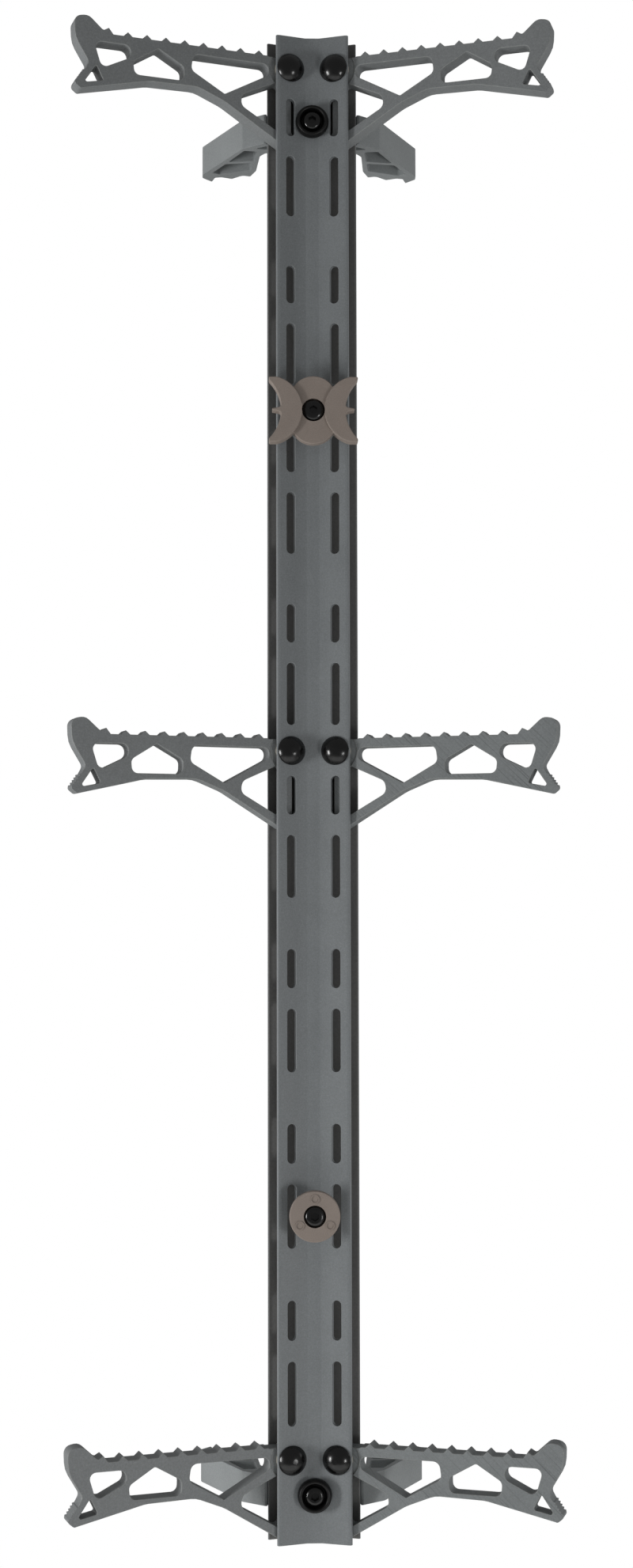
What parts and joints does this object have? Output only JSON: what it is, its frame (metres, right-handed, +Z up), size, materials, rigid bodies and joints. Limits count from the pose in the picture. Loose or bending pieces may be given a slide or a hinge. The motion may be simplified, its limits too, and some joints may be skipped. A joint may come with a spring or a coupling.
{
  "type": "climbing stick",
  "caption": "Tree climbing stick: slotted extruded post with folding truss steps in pairs, toothed standoff brackets, rope cleat and strap button.",
  "frame": {"origin": "on the trunk, in the plane of the bracket teeth, on the middle line of the post, halfway between the two bracket screws", "axes": "+X to the climber's right, +Y from the climber into the trunk, +Z up along the post"},
  "size_m": [0.2604, 0.1083, 0.813],
  "materials": {
    "post_paint": "powder coat, fine satin",
    "bracket_paint": "powder coat, fine satin",
    "step_paint": "powder coat over a casting, matt",
    "bush_steel": "turned",
    "nylon": "natural moulded nylon",
    "taupe_nylon": "moulded, fine matt grain",
    "black_steel": "black oxide, satin"
  },
  "bodies": {
    "post": {"post_floor": "post_paint", "post_back": "post_paint", "post_webs": "post_paint", "post_flange_left": "post_paint", "post_flange_right": "post_paint", "post_rear_left": "post_paint", "post_rear_right": "post_paint", "pivot_bolt_top_left": "black_steel", "pivot_bolt_top_right": "black_steel", "pivot_bolt_mid_left": "black_steel", "pivot_bolt_mid_right": "black_steel", "pivot_bolt_low_left": "black_steel", "pivot_bolt_low_right": "black_steel", "pivot_nuts": "black_steel", "pivot_nut_washers": "black_steel", "thrust_washers": "nylon", "standoff_top": "bracket_paint", "standoff_low": "bracket_paint", "bracket_screw_top": "black_steel", "bracket_screw_low": "black_steel", "cup_washer_top": "black_steel", "cup_washer_low": "black_steel", "rope_cleat": "taupe_nylon", "cleat_screw": "black_steel", "strap_button": "taupe_nylon", "button_screw": "black_steel", "rear_nuts": "black_steel"},
    "step_top_left": {"step_top_left": "step_paint", "bush_top_left": "bush_steel"},
    "step_top_right": {"step_top_right": "step_paint", "bush_top_right": "bush_steel"},
    "step_mid_left": {"step_mid_left": "step_paint", "bush_mid_left": "bush_steel"},
    "step_mid_right": {"step_mid_right": "step_paint", "bush_mid_right": "bush_steel"},
    "step_low_left": {"step_low_left": "step_paint", "bush_low_left": "bush_steel"},
    "step_low_right": {"step_low_right": "step_paint", "bush_low_right": "bush_steel"}
  },
  "joints": [
    {"name": "fold_top_left", "type": "hinge", "parent": "post", "child": "step_top_left", "pos_m": [-0.01433, -0.06699, 0.3999], "axis": [-0.309, 0.9511, 0], "range_deg": [0, 80]},
    {"name": "fold_top_right", "type": "hinge", "parent": "post", "child": "step_top_right", "pos_m": [0.01433, -0.06699, 0.3999], "axis": [-0.309, -0.9511, 0], "range_deg": [0, 80]},
    {"name": "fold_mid_left", "type": "hinge", "parent": "post", "child": "step_mid_left", "pos_m": [-0.01433, -0.06699, 0.0242], "axis": [-0.309, 0.9511, 0], "range_deg": [0, 80]},
    {"name": "fold_mid_right", "type": "hinge", "parent": "post", "child": "step_mid_right", "pos_m": [0.01433, -0.06699, 0.0242], "axis": [-0.309, -0.9511, 0], "range_deg": [0, 80]},
    {"name": "fold_low_left", "type": "hinge", "parent": "post", "child": "step_low_left", "pos_m": [-0.01433, -0.06699, -0.3515], "axis": [-0.309, 0.9511, 0], "range_deg": [0, 80]},
    {"name": "fold_low_right", "type": "hinge", "parent": "post", "child": "step_low_right", "pos_m": [0.01433, -0.06699, -0.3515], "axis": [-0.309, -0.9511, 0], "range_deg": [0, 80]}
  ]
}
